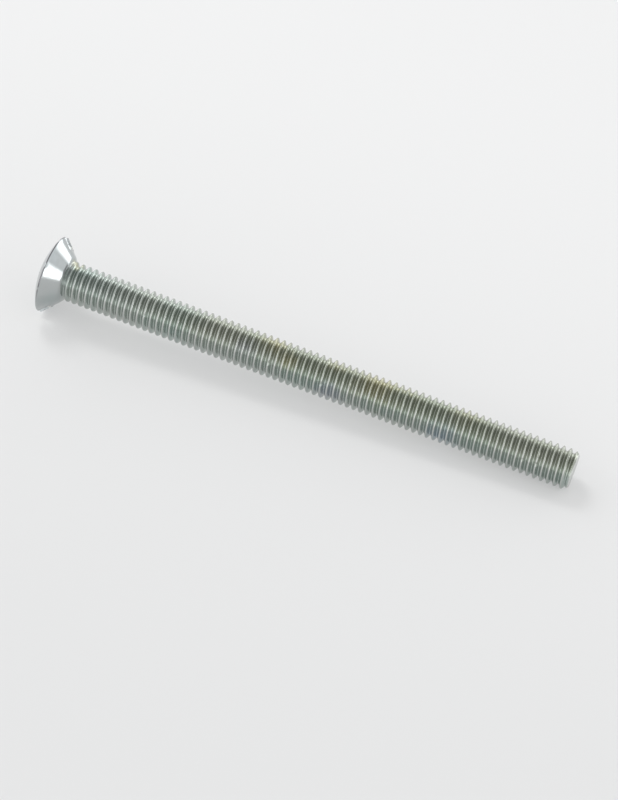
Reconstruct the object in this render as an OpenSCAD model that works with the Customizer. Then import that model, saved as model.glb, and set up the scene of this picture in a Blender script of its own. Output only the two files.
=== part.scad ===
// Machine screw with a slotted, raised countersunk head and a thread over its whole shank.
// It lies as it comes to rest, on the rim of its head and the last crest of its thread.
// Sizes are in millimetres. +X runs from the head to the tip, +Y across, and +Z is up.
// The screw is drawn upright on its own axis first: the plane of the head's rim is z = 0,
// the dome rises above it, and the shank hangs below it.

/* [Thread] */
// Length from the plane of the head's rim to the end of the tip
length = 79.4; // [20:0.1:120]
// Distance from one turn of the thread to the next
pitch = 1; // [0.9:0.05:1.2]
// Diameter over the crests of the thread, from facet to facet
crest_d = 5.82; // [5.6:0.01:6]
// Diameter at the bottom of the groove, and of the flat tip, from facet to facet
root_d = 4.67; // [4.5:0.01:4.9]
// Width of the flat on each crest
crest_w = 0.18; // [0.1:0.01:0.25]
// Distance from the end of the cone to the first trace of the thread
thread_gap = 0.2; // [0.1:0.05:1]
// Turn of the thread's start about the screw's axis, to the nearest facet
thread_turn = -159; // [-180:1:180]
// Flat facets that make up one turn
facets = 18; // [12:1:20]

/* [Head] */
// Diameter of the head's rim
rim_d = 11.3; // [9:0.05:13]
// Height of the rounded edge of the rim
rim_edge = 0.3; // [0.1:0.05:1]
// Angle of the countersunk cone, from side to side
cone_angle = 90; // [80:1:100]
// Height of the dome above the rim's plane
dome_height = 1.4; // [0.6:0.05:2.5]
// Diameter of the bare blank under the head, which the thread is rolled into
neck_d = 5.3; // [5:0.05:5.5]
// Radius of the fillet where the cone runs into the neck
fillet_r = 1.4; // [0.3:0.1:1.8]
// Length of the bare neck between the fillet and the full thread
neck_l = 0.15; // [0.05:0.05:1]

/* [Slot] */
// Width of the driver slot
slot_w = 1.8; // [1:0.05:2.5]
// Depth of the driver slot below the top of the dome
slot_depth = 2.7; // [1.5:0.05:3.2]
// Turn of the slot about the screw's axis, from upright
slot_turn = 42; // [-90:1:90]

/* [Hidden] */
$fn = 96;

crest_r = crest_d / 2;
root_r = root_d / 2;
neck_r = neck_d / 2;
rim_r = rim_d / 2;
cone_half = cone_angle / 2;

// The rim's edge is a full round. Its centre in the section, as [radius, height]
edge_r = rim_edge / 2;
edge_c = [rim_r - edge_r, -edge_r];

// The dome is a sphere that runs into the round of the rim's edge without a corner
dome_rise = dome_height - edge_c[1];
dome_r = (dome_rise ^ 2 - edge_r ^ 2 + edge_c[0] ^ 2) / (2 * (dome_rise - edge_r));
dome_c = dome_height - dome_r;
dome_span = asin(edge_c[0] / (dome_r - edge_r));
dome_edge = [dome_r * sin(dome_span), dome_c + dome_r * cos(dome_span)];

// The cone leaves the same round along its own outward normal
cone_normal = [cos(cone_half), -sin(cone_half)];
cone_top = edge_c + edge_r * cone_normal;

// The fillet touches the cone and the neck from outside
fillet_x = neck_r + fillet_r;
fillet_z = (fillet_x * cos(cone_half) - cone_top * cone_normal - fillet_r) / sin(cone_half);
fillet_c = [fillet_x, fillet_z];
cone_foot = fillet_c - fillet_r * cone_normal;

// The thread is one strip, a pitch wide, wound round the axis from the neck to the tip.
// Its edges meet in the groove. Across the strip lie the groove's flat, the rising flank,
// the crest and the falling flank, at these shares of its width and of the ridge's height
flank_angle = 30;
thread_start = thread_gap - cone_foot[1];
thread_l = length - thread_start;
ridge_h = crest_r - root_r;
flank_w = ridge_h * tan(flank_angle);
groove_w = pitch - crest_w - 2 * flank_w;
across = [0, groove_w, groove_w + flank_w, pitch - flank_w] / pitch;
rise = [0, 0, 1, 1];

// The strip ends square at the tip, one turn after its leading edge first reaches it
steps = ceil(facets * thread_l / pitch) + facets;

// The facets touch the round thread from outside, so its corners lie a little further out.
// The strip starts where a facet, and not a corner, comes to lie on the ground
facet_turn = 360 / facets;
corner = 1 / cos(facet_turn / 2);
first_turn = 180 + facet_turn * (round((thread_turn - 180) / facet_turn - 0.5) + 0.5);

// The neck ends below the fillet, and below the first trace of the thread in any case
neck_end = min(fillet_z, -thread_start) - neck_l;

// The screw lies on the rim's edge and on the last full crest before the tip
contact_rise = rim_r - edge_r - crest_r;
contact_run = length - pitch - edge_r;
tilt = atan(contact_rise / contact_run) + asin(edge_r / norm([contact_rise, contact_run]));
axis_height = edge_c[0] * cos(tilt) + edge_r * sin(tilt) + edge_r;
low_x = -dome_height * cos(tilt);
high_x = length * cos(tilt) + root_r * sin(tilt);

// How far a cutting shape runs past the surface that it opens
over = 1;
// How much larger a blending round is drawn, so that it crosses the faces it blends
cross = 0.004;

steel = [0.78, 0.80, 0.80];

// Half section of the head: the dome, the round of the rim, the cone, the fillet and the neck
module head_section() {
    intersection() {
        translate([0, dome_c]) circle(r = dome_r, $fn = 360);
        translate([0, dome_edge[1]]) square([dome_edge[0], dome_height - dome_edge[1]]);
    }
    translate(edge_c) circle(r = edge_r + cross, $fn = 48);
    difference() {
        polygon([
            [0, dome_edge[1]], dome_edge, edge_c, cone_top, cone_foot, fillet_c, [0, fillet_z]
        ]);
        translate(fillet_c) circle(r = fillet_r + cross);
    }
    translate([0, neck_end]) square([neck_r, cone_foot[1] - neck_end]);
}

// Near edge of the strip after i facets, and the strip's width there, measured towards the tip
function strip_edge(i) = min(thread_l, pitch * max(0, i / facets - 1));
function strip_width(i) = min(thread_l, pitch * i / facets) - strip_edge(i);

// Height of the ridge after i facets: it rises over the first turn and fades over the last
function ridge(i) = ridge_h * max(0, min(1, i / facets, (steps - i) / facets));

function strip_point(i, j) =
    let (r = corner * (root_r + ridge(i) * rise[j]), turn = first_turn - facet_turn * i)
    [r * cos(turn), r * sin(turn), -thread_start - strip_edge(i) - strip_width(i) * across[j]];

// Number of a point in the list. The strip's far edge is its near edge of one turn later,
// and each end of the strip narrows to a single point
function at(i, j) =
    i == 0 ? 4 * facets : i == steps ? 4 * steps : j == 4 ? 4 * (i + facets) : 4 * i + j;

// Right-hand thread with its core, closed by a flat face at the neck and at the tip
module thread() {
    points = [for (i = [0 : steps + facets - 1]) for (j = [0 : 3]) strip_point(i, j)];
    halves = [
        for (i = [0 : steps - 1]) for (j = [0 : 3]) for (half = [
            [at(i, j), at(i + 1, j + 1), at(i + 1, j)],
            [at(i, j), at(i, j + 1), at(i + 1, j + 1)]
        ]) if (half[0] != half[1] && half[1] != half[2] && half[2] != half[0]) half
    ];
    neck_face = [for (i = [1 : facets]) at(i, 0)];
    tip_face = [for (i = [facets - 1 : -1 : 0]) 4 * (steps + i)];
    polyhedron(points, concat(halves, [neck_face, tip_face]), convexity = 10);
}

// The driver slot, open at the top of the dome and at both sides of the rim
module slot() {
    rotate([0, 0, slot_turn])
        translate([-rim_r - over, -slot_w / 2, dome_height - slot_depth])
            cube([rim_d + 2 * over, slot_w, slot_depth + over]);
}

// The screw upright on its own axis, with the head on top
module upright_screw() {
    difference() {
        union() {
            rotate_extrude() head_section();
            thread();
        }
        slot();
    }
}

// The screw at rest, centred along X
module screw() {
    color(steel)
        translate([-(low_x + high_x) / 2, 0, axis_height])
            rotate([0, tilt - 90, 0])
                upright_screw();
}

screw();
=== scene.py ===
# %% [markdown]
# # A machine screw of bright zinc plated steel
#
# The object is one steel screw with a raised countersunk head, one slot, and a thread over
# the whole shank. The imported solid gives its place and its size. This file gives it its
# finish: a finer thread, a worn slot, the zinc, the light and the camera.

# %% Load the frame
import math

import bpy
import numpy as np
from mathutils import Matrix, Vector


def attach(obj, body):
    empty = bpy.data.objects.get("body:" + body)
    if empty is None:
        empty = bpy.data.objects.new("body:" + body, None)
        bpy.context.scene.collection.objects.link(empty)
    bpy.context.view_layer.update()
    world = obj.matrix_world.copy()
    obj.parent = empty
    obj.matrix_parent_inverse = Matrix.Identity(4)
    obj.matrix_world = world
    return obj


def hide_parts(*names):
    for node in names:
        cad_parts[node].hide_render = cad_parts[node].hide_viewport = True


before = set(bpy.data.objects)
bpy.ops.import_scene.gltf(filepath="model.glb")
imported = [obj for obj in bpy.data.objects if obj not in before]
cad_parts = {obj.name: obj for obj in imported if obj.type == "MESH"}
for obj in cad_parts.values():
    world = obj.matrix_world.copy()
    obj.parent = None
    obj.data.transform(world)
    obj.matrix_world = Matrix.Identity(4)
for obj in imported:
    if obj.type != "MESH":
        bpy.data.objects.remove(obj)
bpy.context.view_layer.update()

scene = bpy.context.scene
MM = 0.001

# %% [markdown]
# ## The sizes of the screw
#
# A screw is described by a few numbers, and every other size follows from them. They are the
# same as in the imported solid, to a hundredth of a millimetre, so the finished screw lies where
# the solid lies. The screw is modelled upright on its own axis, where the plane of the rim is
# z = 0 and the shank hangs below, and it is laid down at the end.

# %% Named sizes, in millimetres
length = 79.4
pitch = 1.0
crest_r = 2.91
root_r = 2.335
crest_w = 0.18
flank_angle = 30.0
thread_start = 3.0
thread_turn = -159.0

rim_r = 5.65
edge_r = 0.15
cone_half = 45.0
dome_height = 1.4
neck_r = 2.65
fillet_r = 1.4

slot_w = 1.8
slot_depth = 2.7
slot_turn = 42.0

columns = 112
print("Thread:", length - thread_start, "mm long,", columns, "columns round the shank")

# %% [markdown]
# ## The camera
#
# A photograph of a small object is taken from close by with a long lens. The camera here
# stands where the photograph's stood: about 39 cm off, 42 degrees above the table, and rolled
# a little, so that the screw runs downhill across the picture. A camera's aim is easiest to
# write as a direction and a roll, and a matrix made of its three axes gives both at once.

# %% Camera
def aim(place, azimuth, elevation, roll):
    """Matrix of a camera at a place, looking down by the elevation, turned by the roll."""
    az, el, ro = (math.radians(a) for a in (azimuth, elevation, roll))
    forward = Vector((-math.sin(az) * math.cos(el), math.cos(az) * math.cos(el), -math.sin(el)))
    level = forward.cross(Vector((0, 0, 1))).normalized()
    upright = level.cross(forward)
    right = level * math.cos(ro) + upright * math.sin(ro)
    up = upright * math.cos(ro) - level * math.sin(ro)
    turn = Matrix((right, up, -forward)).transposed().to_4x4()
    return Matrix.Translation(Vector(place) * MM) @ turn


camera_data = bpy.data.cameras.new("photo_camera")
camera_data.sensor_fit = "AUTO"
camera_data.sensor_width = 36
camera_data.lens = 125.28
camera_data.clip_start = 0.01
camera_data.clip_end = 20
camera = bpy.data.objects.new("photo_camera", camera_data)
scene.collection.objects.link(camera)
camera.matrix_world = aim(place=(72.4, -284.4, 263.0), azimuth=14.01, elevation=42.0, roll=9.83)
scene.camera = camera
print("Camera at", [round(v / MM, 1) for v in camera.matrix_world.translation], "mm")

# %% [markdown]
# ## Drawing a profile
#
# A turned or rolled part is one line carried round an axis. The line is drawn as by hand: a
# plane is added, all but one of its corners are deleted, and that corner is extruded from
# point to point. Everything is deselected first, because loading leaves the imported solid
# selected and an operator acts on all that is selected.

# %% Helpers for drawing and selecting
def fresh_start():
    """Leave edit mode and select nothing."""
    if bpy.context.object and bpy.context.object.mode != "OBJECT":
        bpy.ops.object.mode_set(mode="OBJECT")
    bpy.ops.object.select_all(action="DESELECT")


def draw_profile(name, points):
    """A chain of edges through the points (radius, height), in millimetres, in the XZ plane."""
    fresh_start()
    bpy.ops.mesh.primitive_plane_add(size=2 * MM, location=(0, 0, 0))
    line = bpy.context.object
    line.name = line.data.name = name
    bpy.ops.object.mode_set(mode="EDIT")
    bpy.ops.mesh.select_mode(type="VERT")
    bpy.ops.mesh.select_all(action="SELECT")
    bpy.ops.mesh.merge(type="CENTER")
    r, z = points[0]
    bpy.ops.transform.translate(value=(r * MM, 0, z * MM))
    for (r0, z0), (r1, z1) in zip(points, points[1:]):
        step = ((r1 - r0) * MM, 0, (z1 - z0) * MM)
        bpy.ops.mesh.extrude_vertices_move(TRANSFORM_OT_translate={"value": step})
    bpy.ops.object.mode_set(mode="OBJECT")
    return line


def corners(obj):
    """The vertices of a mesh as an array, in millimetres."""
    co = np.empty(len(obj.data.vertices) * 3)
    obj.data.vertices.foreach_get("co", co)
    return co.reshape(-1, 3) / MM


def put_corners(obj, co):
    """Write the array back into the mesh."""
    obj.data.vertices.foreach_set("co", (co * MM).ravel())
    obj.data.update()


def pick(obj, faces=None, verts=None, edges=None):
    """Select faces, vertices or edges by a list of true and false, and enter edit mode."""
    fresh_start()
    bpy.context.view_layer.objects.active = obj
    obj.select_set(True)
    kind = "FACE" if faces is not None else "VERT" if verts is not None else "EDGE"
    bpy.ops.object.mode_set(mode="EDIT")
    bpy.ops.mesh.select_mode(type=kind)
    bpy.ops.mesh.select_all(action="DESELECT")
    bpy.ops.object.mode_set(mode="OBJECT")
    for items, flags in ((obj.data.polygons, faces), (obj.data.vertices, verts),
                         (obj.data.edges, edges)):
        if flags is not None:
            items.foreach_set("select", np.asarray(flags, bool))
    bpy.ops.object.mode_set(mode="EDIT")


def weld(obj, gap):
    """Merge the vertices that lie closer than a gap in millimetres, and turn all faces outwards."""
    pick(obj, verts=np.ones(len(obj.data.vertices)))
    bpy.ops.mesh.remove_doubles(threshold=gap * MM)
    bpy.ops.mesh.normals_make_consistent(inside=False)


# %% [markdown]
# ## The head
#
# The head is a low dome, a thin rim with a rounded edge, and a cone of 90 degrees that runs
# into the neck through a fillet. On the real screw it is struck cold from wire, so all its
# edges are soft. One profile gives the whole of it, and a spin of a full turn makes the
# surface. Arcs get enough points to look round. The straight cone gets some as well, because
# the burr beside the slot is lifted there later, point by point. The profile ends on the
# fillet, at a ring where the thread takes over.

# %% Profile of the head
def arc(centre, radius, start, end, count):
    """Points on an arc from one angle to another, in degrees, ends included."""
    angles = np.radians(np.linspace(start, end, count))
    return [(centre[0] + radius * math.cos(a), centre[1] + radius * math.sin(a)) for a in angles]


ring_depth = 2.35
edge_c = (rim_r - edge_r, -edge_r)
dome_rise = dome_height - edge_c[1]
dome_r = (dome_rise ** 2 - edge_r ** 2 + edge_c[0] ** 2) / (2 * (dome_rise - edge_r))
dome_c = dome_height - dome_r
dome_span = math.degrees(math.asin(edge_c[0] / (dome_r - edge_r)))

down = math.radians(cone_half)
cone_normal = (math.cos(down), -math.sin(down))
cone_top = (edge_c[0] + edge_r * cone_normal[0], edge_c[1] + edge_r * cone_normal[1])
fillet_x = neck_r + fillet_r
fillet_z = (fillet_x * math.cos(down) - cone_top[0] * cone_normal[0]
            - cone_top[1] * cone_normal[1] - fillet_r) / math.sin(down)

profile = arc((0, dome_c), dome_r, 90, 90 - dome_span, count=26)
profile += arc(edge_c, edge_r, 90 - dome_span, -cone_half, count=9)[1:]
foot = (fillet_x - fillet_r * cone_normal[0], fillet_z - fillet_r * cone_normal[1])
cone_steps = 16
profile += [(cone_top[0] + (foot[0] - cone_top[0]) * s, cone_top[1] + (foot[1] - cone_top[1]) * s)
            for s in np.linspace(0, 1, cone_steps + 1)[1:]]
profile += arc((fillet_x, fillet_z), fillet_r, 180 - cone_half, 180, count=9)[1:]
profile = [p for p in profile if p[1] > -ring_depth]


def bare_radius(depth):
    """Radius of the cone, fillet and neck at a depth below the rim, in millimetres."""
    z = -np.asarray(depth, float)
    cone = cone_top[0] - (cone_top[1] - z) / math.tan(math.radians(90 - cone_half))
    lift = np.clip(z - fillet_z, 0, fillet_r * math.sin(down))
    fillet = fillet_x - np.sqrt(fillet_r ** 2 - lift ** 2)
    return np.where(z > foot[1], cone, fillet)


profile.append((float(bare_radius(ring_depth)), -ring_depth))
print("The dome's radius is", round(dome_r, 2), "mm, and the profile has", len(profile), "points")

# %% Spin the head
head = draw_profile("head", profile)
bpy.ops.object.mode_set(mode="EDIT")
bpy.ops.mesh.select_all(action="SELECT")
bpy.ops.mesh.spin(steps=columns, angle=2 * math.pi, center=(0, 0, 0), axis=(0, 0, 1))
bpy.ops.mesh.select_all(action="SELECT")
bpy.ops.mesh.remove_doubles(threshold=0.5e-6)
bpy.ops.object.mode_set(mode="OBJECT")
head.rotation_euler.z = math.radians(thread_turn)
bpy.ops.object.transform_apply(location=False, rotation=True, scale=False)
print("The head has", len(head.data.polygons), "faces")

# %% [markdown]
# ## The slot's burrs
#
# The slot is sawn after the head is struck, and the saw pushes up a fine burr along both
# edges, on the dome and where it leaves through the cone. It is modelled before the slot is
# cut: bisect lays rows of edges over the head next to each edge of the slot, and the vertices
# there are then lifted along the surface's own normal. Those just inside the slot's edges
# are lifted too, so that a burr has its full height where the cut meets it. A burr is ragged,
# so slow waves vary its height, and its top is rubbed flat.

# %% Rows of edges beside the slot
def slot_frame(co):
    """Distances along and across the slot, in millimetres, of points on the upright screw."""
    turn = math.radians(slot_turn)
    along = co[:, 0] * math.cos(turn) + co[:, 1] * math.sin(turn)
    across = -co[:, 0] * math.sin(turn) + co[:, 1] * math.cos(turn)
    return along, across


burr_w = 0.22
burr_rows = (0.03, 0.07, 0.13, burr_w)
slot_floor = dome_height - slot_depth
rows_end = slot_floor - 0.3
side = Vector((-math.sin(math.radians(slot_turn)), math.cos(math.radians(slot_turn)), 0))
for sign in (-1, 1):
    for out in burr_rows:
        pick(head, faces=[f.center.z > rows_end * MM for f in head.data.polygons])
        bpy.ops.mesh.bisect(plane_co=side * sign * (slot_w / 2 + out) * MM, plane_no=side)
        bpy.ops.object.mode_set(mode="OBJECT")
print("The head has", len(head.data.polygons), "faces with the rows beside its slot")

# %% Lift the burrs
burr_h = 0.035
exit_burr = 0.1
dome_foot = -0.02
burr_end = slot_floor - 0.25
inside_slot = 0.3
rubbed_off = 0.02

co = corners(head)
along, across = slot_frame(co)
out = np.abs(across) - slot_w / 2
radius = np.hypot(co[:, 0], co[:, 1])
on_dome = co[:, 2] > dome_foot
on_cone = ~on_dome & (co[:, 2] > burr_end)
wave = 0.75 + 0.25 * np.sin(along * 3.1 + np.sign(across)) * np.sin(along * 1.3 + 2)
ragged = 0.8 + 0.2 * np.sin(co[:, 2] * 9.0 + 2 * np.sign(across) + along)
height = np.where(on_dome, burr_h * wave, exit_burr * ragged * on_cone)
lift = height * np.clip(1 - out / burr_w, 0, 1) ** 2.5 * (out > -inside_slot)
normal = co - np.array([0, 0, dome_c])
normal /= np.linalg.norm(normal, axis=1)[:, None]
outward = np.stack([co[:, 0] / np.maximum(radius, 0.01) * cone_normal[0],
                    co[:, 1] / np.maximum(radius, 0.01) * cone_normal[0],
                    np.full(len(co), cone_normal[1])], axis=1)
normal = np.where(on_dome[:, None], normal, outward)
co += normal * lift[:, None]
edge_top = dome_c + math.sqrt(dome_r ** 2 - (slot_w / 2) ** 2)
co[:, 2] = np.minimum(co[:, 2], edge_top - rubbed_off)
put_corners(head, co)
print("Highest burr:", round(float(lift.max()), 3), "mm")

# %% [markdown]
# ## Dents in the rim
#
# In the plating barrel a screw is knocked about, and its thin rim takes the dents. A dent is a
# smooth hollow: each vertex within its reach moves inwards, most in the middle. The list gives
# each dent's turn about the axis in degrees, its reach and its depth.

# %% Dent the rim
def dent(co, middle, reach, deep, inward):
    """Push the points near a middle along a direction, most in the middle."""
    near = np.clip(1 - (np.linalg.norm(co - np.asarray(middle), axis=1) / reach) ** 2, 0, 1) ** 2
    return co + near[:, None] * deep * np.asarray(inward)


rim_dents = [(-38.0, 0.5, 0.07), (12.0, 0.45, 0.05), (97.0, 0.6, 0.06), (160.0, 0.5, 0.06),
             (231.0, 0.55, 0.05), (285.0, 0.4, 0.05)]
co = corners(head)
for turn, reach, deep in rim_dents:
    out_x, out_y = math.cos(math.radians(turn)), math.sin(math.radians(turn))
    co = dent(co, (rim_r * out_x, rim_r * out_y, -edge_r), reach, deep, (-out_x, -out_y, 0))
put_corners(head, co)
print("The rim has", len(rim_dents), "dents")

# %% [markdown]
# ## The thread
#
# A thread is one groove rolled into the shank, and it climbs by one pitch a turn. Its section
# over one pitch is drawn once, and the Screw modifier winds it. A rolled thread has no sharp
# edge: the crest is a narrow rounded land, and the groove ends in a small radius. So half of
# the ridge is a list of points, each with its distance from the middle of the crest and its
# share of the height, and the other half mirrors it. The winding begins and ends a turn too
# far, so that both ends can be trimmed to a flat ring.

# %% Profile of one turn
ridge_h = crest_r - root_r
flank_w = ridge_h * math.tan(math.radians(flank_angle))
groove_w = pitch - crest_w - 2 * flank_w
crest_at = groove_w + flank_w + crest_w / 2

half_ridge = [(0.0, 1.0), (0.06, 0.975), (0.115, 0.89), (0.36, 0.155), (0.44, 0.03), (0.5, 0.0)]
section = [(crest_at - s, h) for s, h in reversed(half_ridge)]
section += [(crest_at + s, h) for s, h in half_ridge[1:]]
print("One turn of the thread has", len(section) - 1, "faces across")

# %% Wind the thread
turns = math.ceil((length - thread_start) / pitch) + 2
first = 2 * pitch - thread_start
thread = draw_profile("thread", [(root_r + ridge_h * h, first - s) for s, h in section])
winding = thread.modifiers.new("winding", "SCREW")
winding.axis = "Z"
winding.angle = -2 * math.pi
winding.screw_offset = -pitch * MM
winding.iterations = turns
winding.steps = winding.render_steps = columns
winding.use_merge_vertices = False
bpy.ops.object.modifier_apply(modifier=winding.name)
thread.rotation_euler.z = math.radians(thread_turn)
bpy.ops.object.transform_apply(location=False, rotation=True, scale=False)
print("The winding has", len(thread.data.polygons), "faces in", turns, "turns")

# %% [markdown]
# ## The two ends of the thread
#
# The dies press the thread into a smooth blank, so under the head the ridges fade out over a
# turn or two on the fillet, and at the tip the last ridge is lower than the others. No
# operator gives such an end, so the vertices are moved in code: each one is blended between
# the bare blank and the full thread by its depth. What lies past an end is drawn back to the
# flat ring there, and merging the doubles closes the seam between the turns.

# %% Trim and fade the ends
def smooth(x):
    """A soft step from 0 to 1."""
    x = np.clip(x, 0, 1)
    return x * x * (3 - 2 * x)


tip_round = 0.07
tip_r = 2.49
run_in = 1.1
run_out = 0.6
co = corners(thread)
depth = np.clip(-co[:, 2], ring_depth, length - tip_round)
radius = np.hypot(co[:, 0], co[:, 1])
fade = smooth((length - tip_round - depth) / run_out)
full = radius * fade + tip_r * (1 - fade)
start = smooth((depth - ring_depth) / run_in)
shaped = bare_radius(depth) * (1 - start) + full * start
co[:, :2] *= (shaped / radius)[:, None]
co[:, 2] = -depth
put_corners(thread, co)

weld(thread, gap=0.0005)
bpy.ops.object.mode_set(mode="OBJECT")
print("The trimmed thread has", len(thread.data.polygons), "faces")

# %% [markdown]
# ## Nicks in the crests
#
# The crests of a loose screw are nicked here and there. A nick presses the crest down and a
# little sideways. The winding says where a crest is: at a given turn about the axis it comes
# by once in every pitch, so a nick is placed by its turn in degrees and the number of the
# crest, and it has a reach and a depth. Most nicks are drawn by chance from a fixed seed, so
# that every run gives the same ones, and three are listed one by one.

# %% Nick the crests
def crest_depth(turn, number):
    """Depth below the rim at which the crest passes a turn in degrees, on a turn of the thread."""
    return thread_start + pitch * (number + crest_at - (turn - thread_turn) / 360 % 1)


chance = np.random.default_rng(7)
nicks = [(360 * chance.random(), int(chance.integers(3, 74)), 0.25 + 0.2 * chance.random(),
          0.05 + 0.07 * chance.random()) for _ in range(46)]
nicks += [(-140.0, 74, 0.4, 0.16), (172.0, 62, 0.35, 0.1), (120.0, 70, 0.35, 0.1)]
co = corners(thread)
for turn, number, reach, deep in nicks:
    out_x, out_y = math.cos(math.radians(turn)), math.sin(math.radians(turn))
    middle = (crest_r * out_x, crest_r * out_y, -crest_depth(turn, number))
    co = dent(co, middle, reach, deep, (-out_x, -out_y, 0.4))
co[:, 2] = np.clip(co[:, 2], tip_round - length, -ring_depth)
put_corners(thread, co)
print("The thread has", len(nicks), "nicks")

# %% [markdown]
# ## The tip
#
# The blank was sheared from wire, so its end is a plain flat face with a soft edge, and the
# rolling has left it a little dished. The open ring gets one face, and four insets give the
# edge its round and the face its dish.

# %% Close the tip
at_tip = np.abs(corners(thread)[:, 2] + length - tip_round) < 1e-4
pick(thread, verts=at_tip)
bpy.ops.mesh.edge_face_add()
tip_insets = ((0.05, 0.05), (0.12, 0.02), (0.35, -0.01), (0.9, -0.05))
for width, rise in tip_insets:
    bpy.ops.mesh.inset(thickness=width * MM, depth=rise * MM)
bpy.ops.object.mode_set(mode="OBJECT")
print("The tip ends at", round(float(-corners(thread)[:, 2].min()), 3), "mm")

# %% [markdown]
# ## One closed screw
#
# Head and thread meet in the same ring of vertices, so joining them and merging that ring
# makes one closed skin. The normals are recalculated after the merge, because a spin can
# leave them turned inwards.

# %% Join head and thread
fresh_start()
head.select_set(True)
thread.select_set(True)
bpy.context.view_layer.objects.active = head
bpy.ops.object.join()
screw = head
screw.name = screw.data.name = "zinc_screw"
weld(screw, gap=0.002)
bpy.ops.mesh.select_all(action="DESELECT")
bpy.ops.mesh.select_mode(type="EDGE")
bpy.ops.mesh.select_non_manifold()
bpy.ops.object.mode_set(mode="OBJECT")
print("Open edges:", sum(e.select for e in screw.data.edges))

# %% [markdown]
# ## The slot
#
# The slot is sawn straight across the head. A box stands for the saw's path: its lower edges
# get a small round, as the saw's worn teeth leave one, and a Boolean takes it out of the head.

# %% Saw the slot
fresh_start()
bpy.ops.mesh.primitive_cube_add(size=1, location=(0, 0, 0))
saw = bpy.context.object
saw.scale = (3 * rim_r * MM, slot_w * MM, 2 * slot_depth * MM)
bpy.ops.object.transform_apply(location=False, rotation=False, scale=True)


def cuts_bottom(edge):
    """Whether an edge of the box runs along the slot at its bottom."""
    one, other = (saw.data.vertices[v].co for v in edge.vertices)
    return max(one.z, other.z) < 0 and abs(one.x - other.x) > rim_r * MM


tooth_round = 0.16
pick(saw, edges=[cuts_bottom(e) for e in saw.data.edges])
bpy.ops.mesh.bevel(offset=tooth_round * MM, segments=4, affect="EDGES")
bpy.ops.object.mode_set(mode="OBJECT")
saw.location.z = dome_height * MM
saw.rotation_euler.z = math.radians(slot_turn)
bpy.ops.object.transform_apply(location=True, rotation=True, scale=False)

fresh_start()
bpy.context.view_layer.objects.active = screw
screw.select_set(True)
cut = screw.modifiers.new("slot", "BOOLEAN")
cut.operation = "DIFFERENCE"
cut.solver = "EXACT"
cut.object = saw
bpy.ops.object.modifier_apply(modifier=cut.name)
bpy.data.objects.remove(saw)
print("The screw has", len(screw.data.polygons), "faces with its slot")

# %% [markdown]
# ## Laying it down
#
# A countersunk screw rests on the edge of its head and on one crest near its tip, so its axis
# slopes by about two degrees. The slope follows from the two radii and the distance between
# the two contacts. Applying the transform moves the place into the mesh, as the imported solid
# has it.

# %% Lay the screw down
rise = rim_r - edge_r - crest_r
run = length - pitch - edge_r
slope = math.atan(rise / run) + math.asin(edge_r / math.hypot(rise, run))
axis_height = edge_c[0] * math.cos(slope) + edge_r * math.sin(slope) + edge_r
reach = (length - dome_height) * math.cos(slope) + root_r * math.sin(slope)
lay = (Matrix.Translation((-reach / 2 * MM, 0, axis_height * MM))
       @ Matrix.Rotation(slope - math.pi / 2, 4, "Y"))
screw.matrix_world = lay
bpy.ops.object.transform_apply(location=True, rotation=True, scale=True)
bpy.ops.object.shade_smooth_by_angle(angle=math.radians(50))
print("The axis slopes by", round(math.degrees(slope), 3), "degrees")

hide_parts("screw")
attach(screw, "root")

# %% [markdown]
# ## The zinc
#
# Bright zinc is a thin, slightly uneven mirror over steel. Its passivation leaves faint
# colours that drift from yellow to blue and violet, as on an oil film, the rolled flanks are
# duller than the crests, and the crests are painted brighter, partly as rubbed wear and partly
# as a painted highlight. What can be placed and tuned by itself is a node group of its own. A
# node tree takes many lines by hand, so a few helpers add a node, set it and link it in one line
# each.

# %% Helpers for node groups
def group(name, inputs, outputs):
    """An empty shader node group with named sockets."""
    tree = bpy.data.node_groups.new(name, "ShaderNodeTree")
    for label, kind, value in inputs:
        socket = tree.interface.new_socket(label, in_out="INPUT", socket_type="NodeSocket" + kind)
        if value is not None:
            socket.default_value = value
    for label, kind in outputs:
        tree.interface.new_socket(label, in_out="OUTPUT", socket_type="NodeSocket" + kind)
    tree.nodes.new("NodeGroupInput").location = (-900, 0)
    tree.nodes.new("NodeGroupOutput").location = (600, 0)
    return tree


def ends(tree):
    """The input and output nodes of a group."""
    found = {n.bl_idname: n for n in tree.nodes}
    return found["NodeGroupInput"], found["NodeGroupOutput"]


def placed(tree, made, **inputs):
    """A group node with its inputs set or linked."""
    found = tree.nodes.new("ShaderNodeGroup")
    found.node_tree = made
    for key, value in inputs.items():
        feed(tree, found.inputs[key.replace("_", " ")], value)
    return found


# %% Helpers for nodes
def feed(tree, socket, value):
    """Link a value that is a socket, and set any other value on the input."""
    if isinstance(value, bpy.types.NodeSocket):
        tree.links.new(value, socket)
    else:
        socket.default_value = value


def node(tree, kind, inputs=None, **settings):
    """Add a node, set its properties, and set or link its inputs."""
    made = tree.nodes.new("ShaderNode" + kind)
    for key, value in settings.items():
        setattr(made, key, value)
    for key, value in (inputs or {}).items():
        feed(tree, made.inputs[key], value)
    return made


def math_node(tree, operation, a, b=0.0, c=0.0):
    """The output of a Math node."""
    return node(tree, "Math", {0: a, 1: b, 2: c}, operation=operation).outputs[0]


def ramp(tree, value, low, high, to_low=0.0, to_high=1.0):
    """A smooth step of a value between two bounds."""
    made = node(tree, "MapRange", {"Value": value, "From Min": low, "From Max": high,
                                   "To Min": to_low, "To Max": to_high},
                interpolation_type="SMOOTHSTEP")
    return made.outputs["Result"]


def mix_colour(tree, share, a, b):
    """The mix of two colours."""
    made = tree.nodes.new("ShaderNodeMix")
    made.data_type = "RGBA"
    for number, value in ((0, share), (6, a), (7, b)):
        feed(tree, made.inputs[number], value)
    return made.outputs[2]


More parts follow.
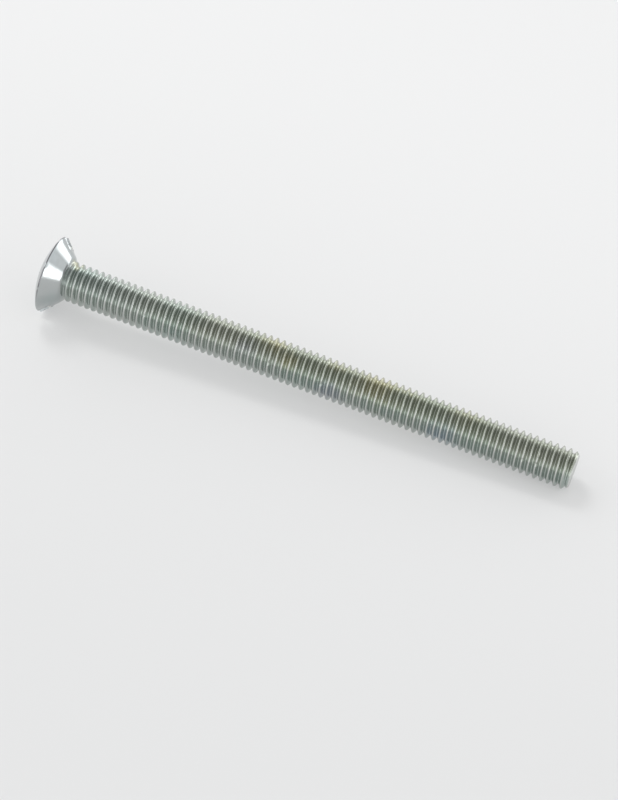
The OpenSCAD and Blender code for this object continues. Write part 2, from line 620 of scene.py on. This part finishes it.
# %% [markdown]
# ## Where on the screw a point lies
#
# Most of the finish follows the screw's shape: crests, grooves, cone, dome, slot. The first
# group turns a point into the numbers that a maker would use: how far it is from the rim,
# how far from the axis, at which turn, and how far from the middle of the slot.

# %% Group: place on the screw
def screw_place():
    """Depth below the rim, radius, turn in radians, and distance from the slot's middle, in mm."""
    tree = group("screw_place", [("Vector", "Vector", None)],
                 [("Depth", "Float"), ("Radius", "Float"), ("Turn", "Float"), ("Slot", "Float")])
    given, result = ends(tree)
    part = node(tree, "SeparateXYZ", {0: given.outputs[0]})
    depth, back, up = part.outputs
    radius = math_node(tree, "SQRT", math_node(
        tree, "ADD", math_node(tree, "MULTIPLY", back, back), math_node(tree, "MULTIPLY", up, up)))
    angle = math_node(tree, "ARCTAN2", back, up)
    turn = math.radians(slot_turn)
    across = math_node(tree, "SUBTRACT", math_node(tree, "MULTIPLY", back, math.cos(turn)),
                       math_node(tree, "MULTIPLY", up, math.sin(turn)))
    for label, value in (("Depth", depth), ("Radius", radius), ("Turn", angle),
                         ("Slot", math_node(tree, "ABSOLUTE", across))):
        tree.links.new(value, result.inputs[label])
    return tree


place_group = screw_place()
print("Group", place_group.name, "measures a point as the screw's maker would")

# %% [markdown]
# ## Stains of the passivation
#
# The clear passivation on zinc is thinner or thicker from place to place, and shows as soft
# yellow, green or violet stains. A stain is a ball of influence round a point, and noise
# breaks its edge, so that it fades into the metal as a liquid's edge does.

# %% Group: one stain
def stain():
    """How strongly a stain shows, from 0 to 1."""
    tree = group("passivation_stain",
                 [("Vector", "Vector", None), ("Centre", "Vector", (0, 0, 0)),
                  ("Size", "Float", 4.0), ("Strength", "Float", 0.5)],
                 [("Mask", "Float")])
    given, result = ends(tree)
    distance = node(tree, "VectorMath", {0: given.outputs["Vector"], 1: given.outputs["Centre"]},
                    operation="DISTANCE").outputs["Value"]
    ragged = node(tree, "TexNoise", {"Vector": given.outputs["Vector"], "Scale": 0.55,
                                     "Detail": 3.0, "Roughness": 0.6}).outputs["Fac"]
    share = math_node(tree, "DIVIDE", distance, given.outputs["Size"])
    share = math_node(tree, "ADD", share, math_node(tree, "MULTIPLY", ragged, 0.9))
    mask = ramp(tree, share, 1.25, 0.45)
    tree.links.new(math_node(tree, "MULTIPLY", mask, given.outputs["Strength"]), result.inputs[0])
    return tree


stain_group = stain()
print("Group", stain_group.name, "is placed once for each stain")

# %% [markdown]
# ## Uneven plating
#
# No plated surface is quite even. Slow noise drifts the tint of the zinc between a cool and a
# warm grey, and finer noise changes how sharply it reflects. Both go out of one group, so that
# the head, the thread and the slot can each mix them in their own measure.

# %% Group: uneven plating
def plating():
    """A drift from 0 to 1 for the tint, and one for the roughness."""
    tree = group("uneven_plating",
                 [("Vector", "Vector", None), ("Drift Scale", "Float", 0.12),
                  ("Grain Scale", "Float", 1.6)],
                 [("Drift", "Float"), ("Grain", "Float")])
    given, result = ends(tree)
    for label, size, detail, low, high in (("Drift", "Drift Scale", 2.0, 0.35, 0.65),
                                           ("Grain", "Grain Scale", 4.0, 0.3, 0.7)):
        noise = node(tree, "TexNoise", {"Vector": given.outputs["Vector"],
                                        "Scale": given.outputs[size], "Detail": detail})
        tree.links.new(ramp(tree, noise.outputs["Fac"], low, high), result.inputs[label])
    return tree


plating_group = plating()
print("Group", plating_group.name, "drifts the tint and the roughness")

# %% [markdown]
# ## Marks of making
#
# The head is upset in a die, which draws fine streaks from the rim towards the neck, the
# rolling dies leave lines that run along the flanks, the saw and the shear leave straight
# lines in the slot and on the end, and the barrel in which the screws are plated leaves small
# dents all over. These are far too small to model, so one group gives their height for a Bump
# node.

# %% Group: marks of making
def making_marks():
    """Height of the dies' streaks and lines, the barrel's dents, and the lines of saw and shear."""
    tree = group("making_marks",
                 [("Vector", "Vector", None), ("Turn", "Float", 0.0), ("Depth", "Float", 0.0),
                  ("Radius", "Float", 0.0), ("Slot", "Float", 0.0), ("In Thread", "Float", 0.0),
                  ("Cut", "Float", 0.0)],
                 [("Height", "Float")])
    given, result = ends(tree)
    put = given.outputs

    def noise(vector, scale, detail, roughness=0.6):
        """Noise from 0 to 1 over the space that a vector spans."""
        return node(tree, "TexNoise", {"Vector": vector, "Scale": scale, "Detail": detail,
                                       "Roughness": roughness}).outputs["Fac"]

    slow = math_node(tree, "MULTIPLY", put["Depth"], 0.05)
    round_way = node(tree, "CombineXYZ", {0: math_node(tree, "SINE", put["Turn"]),
                                          1: math_node(tree, "COSINE", put["Turn"]), 2: slow})
    streaks = noise(round_way.outputs[0], 9.0, 3.0, 0.7)
    flank_way = node(tree, "CombineXYZ", {0: put["Radius"], 1: slow, 2: 0.0}).outputs[0]
    flank_lines = noise(flank_way, 12.0, 3.0)
    grain = noise(put["Vector"], 2.4, 5.0)
    cut_way = node(tree, "CombineXYZ", {0: put["Slot"], 1: slow}).outputs[0]
    cut_lines = noise(cut_way, 14.0, 2.0)
    dents = node(tree, "TexVoronoi", {"Vector": put["Vector"], "Scale": 0.9},
                 feature="SMOOTH_F1").outputs["Distance"]

    on_head = math_node(tree, "SUBTRACT", 1.0, put["In Thread"])
    height = math_node(tree, "MULTIPLY", dents, 0.3)
    for value, share in ((grain, 0.45), (math_node(tree, "MULTIPLY", streaks, on_head), 0.8),
                         (math_node(tree, "MULTIPLY", flank_lines, put["In Thread"]), 0.35),
                         (math_node(tree, "MULTIPLY", cut_lines, put["Cut"]), 1.5)):
        height = math_node(tree, "MULTIPLY_ADD", value, share, height)
    tree.links.new(height, result.inputs[0])
    return tree


marks_group = making_marks()
print("Group", marks_group.name, "gives one height for the Bump node")

# %% [markdown]
# ## The zinc's coordinates
#
# The groups come together in one material. It reads the object's own coordinates, in which
# the screw lies on its side. A Mapping node turns and moves them, so that x runs down the
# screw's axis from the rim, z stands up from the axis, and one unit is one millimetre.

# %% Start the zinc
zinc = bpy.data.materials.new("bright_zinc")
zinc.use_nodes = True
tree = zinc.node_tree
shader = tree.nodes["Principled BSDF"]

coordinates = node(tree, "TexCoord").outputs["Object"]
mapping = node(tree, "Mapping", {"Vector": coordinates}, vector_type="TEXTURE")
mapping.inputs["Location"].default_value = (-reach / 2 * MM, 0, axis_height * MM)
mapping.inputs["Rotation"].default_value = (0, slope, 0)
mapping.inputs["Scale"].default_value = (MM, MM, MM)
where = mapping.outputs[0]
spot = placed(tree, place_group, Vector=where)
depth, radius = spot.outputs["Depth"], spot.outputs["Radius"]
origin = mapping.inputs["Location"].default_value
print("The middle of the rim lies at", [round(v / MM, 2) for v in origin], "mm")

# %% [markdown]
# ## The tint of the zinc
#
# The metal is a cool grey on the head and a greener grey in the thread, where light bounces
# several times between the flanks and takes the tint more strongly. Along the shank its upper
# side is painted olive, a painted reflection of the dark room that its upward flanks mirror, and
# the uneven plating warms it in places.

# %% Tint
cool, green = (0.490, 0.525, 0.535, 1), (0.405, 0.462, 0.433, 1)
olive_painted_reflection, warm = (0.418, 0.440, 0.365, 1), (0.505, 0.495, 0.470, 1)
uneven = placed(tree, plating_group, Vector=where)
in_thread = ramp(tree, depth, 2.3, 3.4)
above_axis = node(tree, "SeparateXYZ", {0: where}).outputs[2]
colour = mix_colour(tree, in_thread, cool, green)
# Painted reflection: the upper side of the shank is tinted olive, standing in for the dark room
# that its upward flanks mirror.
painted_top_reflection = math_node(tree, "MULTIPLY", ramp(tree, above_axis, 0.0, 2.2),
                     ramp(tree, depth, 6.0, 26.0))
colour = mix_colour(tree, math_node(tree, "MULTIPLY", painted_top_reflection, 0.8), colour, olive_painted_reflection)
drifted = math_node(tree, "MULTIPLY", uneven.outputs["Drift"], 0.3)
colour = mix_colour(tree, drifted, colour, warm)
print("Tint on the head:", cool[:3], "and in the thread:", green[:3])

# %% [markdown]
# ## The stains on the screw
#
# Each stain has a place in millimetres from the middle of the rim, down the axis, back and up,
# then a size, a strength and a tint. The yellow and blue ones of the visible side stand where
# the photograph shows them, and the last two are on the side that it hides.

# %% Place the stains
yellow, violet = (0.49, 0.46, 0.30, 1), (0.40, 0.41, 0.49, 1)
slate, teal = (0.38, 0.44, 0.49, 1), (0.40, 0.49, 0.48, 1)
stains = [((34.2, 1.0, 2.7), 4.2, 0.60, yellow), ((36.8, -1.5, 2.2), 2.6, 0.45, yellow),
          ((43.4, 0.8, 2.7), 3.0, 0.35, yellow), ((50.0, 0.4, 2.7), 6.0, 0.60, yellow),
          ((3.5, 1.0, 2.6), 1.7, 0.75, yellow), ((63.0, 1.5, 2.3), 4.5, 0.30, yellow),
          ((43.6, -2.6, -0.6), 3.8, 0.50, violet), ((60.4, -2.6, -0.9), 4.6, 0.75, slate),
          ((30.5, -2.0, 1.8), 3.0, 0.30, violet), ((20.0, 0.5, 2.6), 7.0, 0.25, teal),
          ((1.6, -4.0, -0.8), 3.0, 0.30, teal),
          ((24.0, 2.0, -2.0), 6.0, 0.5, violet), ((54.0, 2.5, -1.2), 7.0, 0.5, yellow)]
for centre, size, strength, tint in stains:
    mask = placed(tree, stain_group, Vector=where, Centre=centre, Size=size, Strength=strength)
    colour = mix_colour(tree, mask.outputs["Mask"], colour, tint)
print("The zinc has", len(stains), "stains")

# %% [markdown]
# ## The slot's finish
#
# The sawn slot is duller than the rest of the head, and it is painted paler: painted light that
# lifts the shade inside it. The bath has pooled along its bottom and left a golden tint there,
# which fades towards the rim.

# %% Colour of the slot
slot_bottom = -slot_floor
in_slot = math_node(tree, "MULTIPLY",
                    ramp(tree, spot.outputs["Slot"], slot_w / 2 + 0.02, slot_w / 2 - 0.01),
                    ramp(tree, depth, slot_bottom + 0.3, slot_bottom + 0.1))
# Painted light: a pale tint over the slot's inside lifts the shade that falls in it.
painted_slot_light = (0.74, 0.77, 0.78, 1)
colour = mix_colour(tree, math_node(tree, "MULTIPLY", in_slot, 0.9), colour, painted_slot_light)
pooled = math_node(tree, "MULTIPLY", in_slot,
                   ramp(tree, depth, slot_bottom - 0.9, slot_bottom - 0.1))
pooled = math_node(tree, "MULTIPLY", pooled, ramp(tree, radius, 5.0, 3.4))
pooled = math_node(tree, "MULTIPLY", pooled, math_node(
    tree, "MULTIPLY_ADD", uneven.outputs["Grain"], 0.55, 0.3))
golden = (0.78, 0.68, 0.36, 1)
colour = mix_colour(tree, pooled, colour, golden)
print("The slot's bottom lies", round(slot_bottom, 2), "mm below the rim")

# %% [markdown]
# ## Crests, rim and tip
#
# The crests are a little brighter than the flanks, partly from rubbed wear and partly as a
# painted highlight, which is kept off the top of the shank. The sharp edge of the rim has a dark
# line on its upper side, a painted reflection of a dark direction. The end face is painted
# bright, a painted highlight. The distance from the axis tells crests and rim from the rest, and
# the distance from the rim's plane tells the end.

# %% Colour of the crests, the rim and the tip
# Partly rubbed wear and partly a painted highlight: the crests are tinted lighter, except along the
# top of the shank.
on_crest = math_node(tree, "MULTIPLY", ramp(tree, radius, crest_r - 0.10, crest_r - 0.02),
                     ramp(tree, depth, 3.2, 4.0))
on_crest = math_node(tree, "MULTIPLY", on_crest, ramp(tree, above_axis, 2.9, 1.5))
crest_rub_and_highlight = (0.550, 0.560, 0.545, 1)
colour = mix_colour(tree, math_node(tree, "MULTIPLY", on_crest, 0.65), colour, crest_rub_and_highlight)
# Painted reflection: a dark line along the rim's edge, strongest on its upper side, stands in for a
# dark direction that the edge mirrors.
on_rim = math_node(tree, "MULTIPLY", ramp(tree, radius, rim_r - 0.06, rim_r - 0.02),
                   ramp(tree, above_axis, -1.5, 2.0))
rim_painted_dark_line = (0.18, 0.17, 0.185, 1)
colour = mix_colour(tree, math_node(tree, "MULTIPLY", on_rim, 0.8), colour, rim_painted_dark_line)
# Painted highlight: the end face is tinted bright. The same mask also roughens the end and carries
# its shear lines.
on_tip = ramp(tree, depth, length - 0.15, length - 0.08)
painted_tip_highlight = (0.66, 0.67, 0.65, 1)
colour = mix_colour(tree, math_node(tree, "MULTIPLY", on_tip, 0.85), colour, painted_tip_highlight)
tree.links.new(colour, shader.inputs["Base Color"])
print("The crests reach", crest_r, "mm from the axis, and the rim", rim_r, "mm")

# %% [markdown]
# ## How sharply the zinc reflects
#
# Roughness follows the plating's grain and rises in the thread, in the slot and on the end. The
# slot is also less metallic, because its torn surface holds more of the bath. The marks of
# making go through a Bump node, with a height of about a hundredth of a millimetre.

# %% Roughness, metal and marks
tree.links.new(math_node(tree, "MULTIPLY_ADD", in_slot, -0.4, 1.0), shader.inputs["Metallic"])
rough = math_node(tree, "MULTIPLY_ADD", uneven.outputs["Grain"], 0.07, 0.11)
rough = math_node(tree, "ADD", rough, math_node(tree, "MULTIPLY", in_slot, 0.2))
rough = math_node(tree, "ADD", rough, math_node(tree, "MULTIPLY", on_tip, 0.15))
rough = math_node(tree, "ADD", rough, math_node(tree, "MULTIPLY", in_thread, 0.09))
tree.links.new(rough, shader.inputs["Roughness"])

marks = placed(tree, marks_group, Vector=where, Turn=spot.outputs["Turn"], Depth=depth,
               Radius=radius, Slot=spot.outputs["Slot"], In_Thread=in_thread,
               Cut=math_node(tree, "MAXIMUM", in_slot, on_tip))
bump = node(tree, "Bump", {"Height": marks.outputs["Height"], "Strength": 0.35,
                           "Distance": 0.012 * MM})
tree.links.new(bump.outputs["Normal"], shader.inputs["Normal"])
screw.data.materials.clear()
screw.data.materials.append(zinc)
print("The zinc has", len(tree.nodes), "nodes")

# %% [markdown]
# ## The table
#
# The table is a plain white sheet. Its diffuse share takes the screw's shadow. The other share
# is a light of its own that only the camera, mirrors and glass see, so that the background
# stays pale without more light on the screw. It is a little brighter far away than near.

# %% Table
fresh_start()
bpy.ops.mesh.primitive_plane_add(size=4, location=(0, 0, 0))
table = bpy.context.object
table.name = table.data.name = "table"

paper = bpy.data.materials.new("table_white")
paper.use_nodes = True
tree = paper.node_tree
tree.nodes.clear()
matt = node(tree, "BsdfDiffuse", {"Color": (0.855, 0.855, 0.855, 1)})
away = node(tree, "SeparateXYZ", {0: node(tree, "TexCoord").outputs["Object"]}).outputs[1]
near_white, far_white = (0.67, 0.67, 0.67, 1), (0.84, 0.84, 0.84, 1)
pale = mix_colour(tree, ramp(tree, away, -0.08, 0.09), near_white, far_white)
glow = node(tree, "Emission", {"Color": pale, "Strength": 1.0})
glow_share = 0.45
path = node(tree, "LightPath")
seen = math_node(tree, "MAXIMUM", path.outputs["Is Camera Ray"], path.outputs["Is Glossy Ray"])
seen = math_node(tree, "MAXIMUM", seen, path.outputs["Is Transmission Ray"])
sheet = node(tree, "MixShader", {0: math_node(tree, "MULTIPLY", seen, glow_share),
                                 1: matt.outputs[0], 2: glow.outputs[0]})
tree.links.new(sheet.outputs[0], node(tree, "OutputMaterial").inputs["Surface"])
table.data.materials.append(paper)
print("The table is", table.dimensions.x, "m wide")

# %% [markdown]
# ## The room
#
# Metal shows what stands round it, so the room matters more than any lamp. It is a tent of
# soft light that is brighter near the table than overhead, with a few panels: a low window
# behind the screw and one to its right give the white bands on the cone, a dark gap between
# them gives the grey one, and the wide panels in front and to the left light the crests. All
# of it is painted in the world by direction, and the group makes one panel with soft edges. A
# panel has its middle, its half width, its lower and upper limit and the width of its soft
# edge, all in degrees, and a strength. The camera itself sees a plain pale wall instead.

# %% Group: soft panel
def soft_panel():
    """Light of a panel, by direction: its middle, and how wide, low and high it reaches."""
    tree = group("soft_panel",
                 [("Azimuth", "Float", 0.0), ("Elevation", "Float", 0.0), ("Middle", "Float", 0.0),
                  ("Half Width", "Float", 30.0), ("Low", "Float", 0.0), ("High", "Float", 20.0),
                  ("Edge", "Float", 6.0), ("Strength", "Float", 1.0)],
                 [("Light", "Float")])
    given, result = ends(tree)
    azimuth, elevation, middle, half, low, high, edge, strength = given.outputs[:8]
    aside = math_node(tree, "WRAP", math_node(tree, "SUBTRACT", azimuth, middle), 180.0, -180.0)
    aside = math_node(tree, "SUBTRACT", half, math_node(tree, "ABSOLUTE", aside))
    above = math_node(tree, "SUBTRACT", elevation, low)
    below = math_node(tree, "SUBTRACT", high, elevation)
    light = strength
    for distance in (aside, above, below):
        share = math_node(tree, "ADD", math_node(tree, "DIVIDE", distance, edge), 0.5)
        light = math_node(tree, "MULTIPLY", light, ramp(tree, share, 0.0, 1.0))
    tree.links.new(light, result.inputs[0])
    return tree


panel_group = soft_panel()
print("Group", panel_group.name, "is placed once for each panel")

# %% World
world = bpy.data.worlds.new("studio")
scene.world = world
world.use_nodes = True
tree = world.node_tree
background = tree.nodes["Background"]
direction = node(tree, "SeparateXYZ", {0: node(tree, "TexCoord").outputs["Generated"]}).outputs
degree = 180 / math.pi
elevation = math_node(tree, "MULTIPLY", math_node(tree, "ARCSINE", direction[2]), degree)
azimuth = math_node(tree, "ARCTAN2", direction[0], direction[1])
azimuth = math_node(tree, "MULTIPLY", azimuth, degree)

light = ramp(tree, elevation, 15.0, 60.0, to_low=1.12, to_high=0.42)
panels = [("behind", 29, 22, -3, 17, 5, 1.3), ("right", 98, 11, -3, 19, 5, 1.5),
          ("dark_gap", 69, 15, -6, 17.5, 8, -0.75), ("far_left", -45, 45, 6, 24, 8, 0.7),
          ("left", -90, 45, 22, 46, 12, 1.15), ("front", 165, 18, 0, 24, 10, 0.6),
          ("front_high", 120, 60, 45, 72, 14, 0.3)]
for name, middle, half, low, high, edge, strength in panels:
    panel = placed(tree, panel_group, Azimuth=azimuth, Elevation=elevation, Middle=middle,
                   Half_Width=half, Low=low, High=high, Edge=edge, Strength=strength)
    panel.label = name
    light = math_node(tree, "ADD", light, panel.outputs["Light"])

backdrop = 0.85
seen = node(tree, "LightPath").outputs["Is Camera Ray"]
light = math_node(tree, "MULTIPLY", light, math_node(tree, "SUBTRACT", 1.0, seen))
light = math_node(tree, "MULTIPLY_ADD", seen, backdrop, light)
tree.links.new(light, background.inputs["Strength"])
background.inputs["Color"].default_value = (0.985, 0.995, 1.0, 1)
scene.view_settings.view_transform = "Standard"
print("The room has", len(panels), "panels")

# %% [markdown]
# ## The lamp
#
# The tent alone gives a shadow that is as soft on every side. The photograph's falls a little
# more to the front and the right, so one small area lamp hangs behind the screw on its left.
# The metal doesn't mirror it, because its panels are already painted in the world.

# %% Area lamp
key_data = bpy.data.lights.new("key_lamp", "AREA")
key_data.size = 0.3
key_data.energy = 2.1
key = bpy.data.objects.new("key_lamp", key_data)
scene.collection.objects.link(key)
key_place = Vector((-0.45, 0.30, 0.75))
key_turn = (-key_place).to_track_quat("-Z", "Y").to_matrix().to_4x4()
key.matrix_world = Matrix.Translation(key_place) @ key_turn
key.visible_glossy = False
print("The lamp hangs", round(key_place.length, 2), "m from the screw")
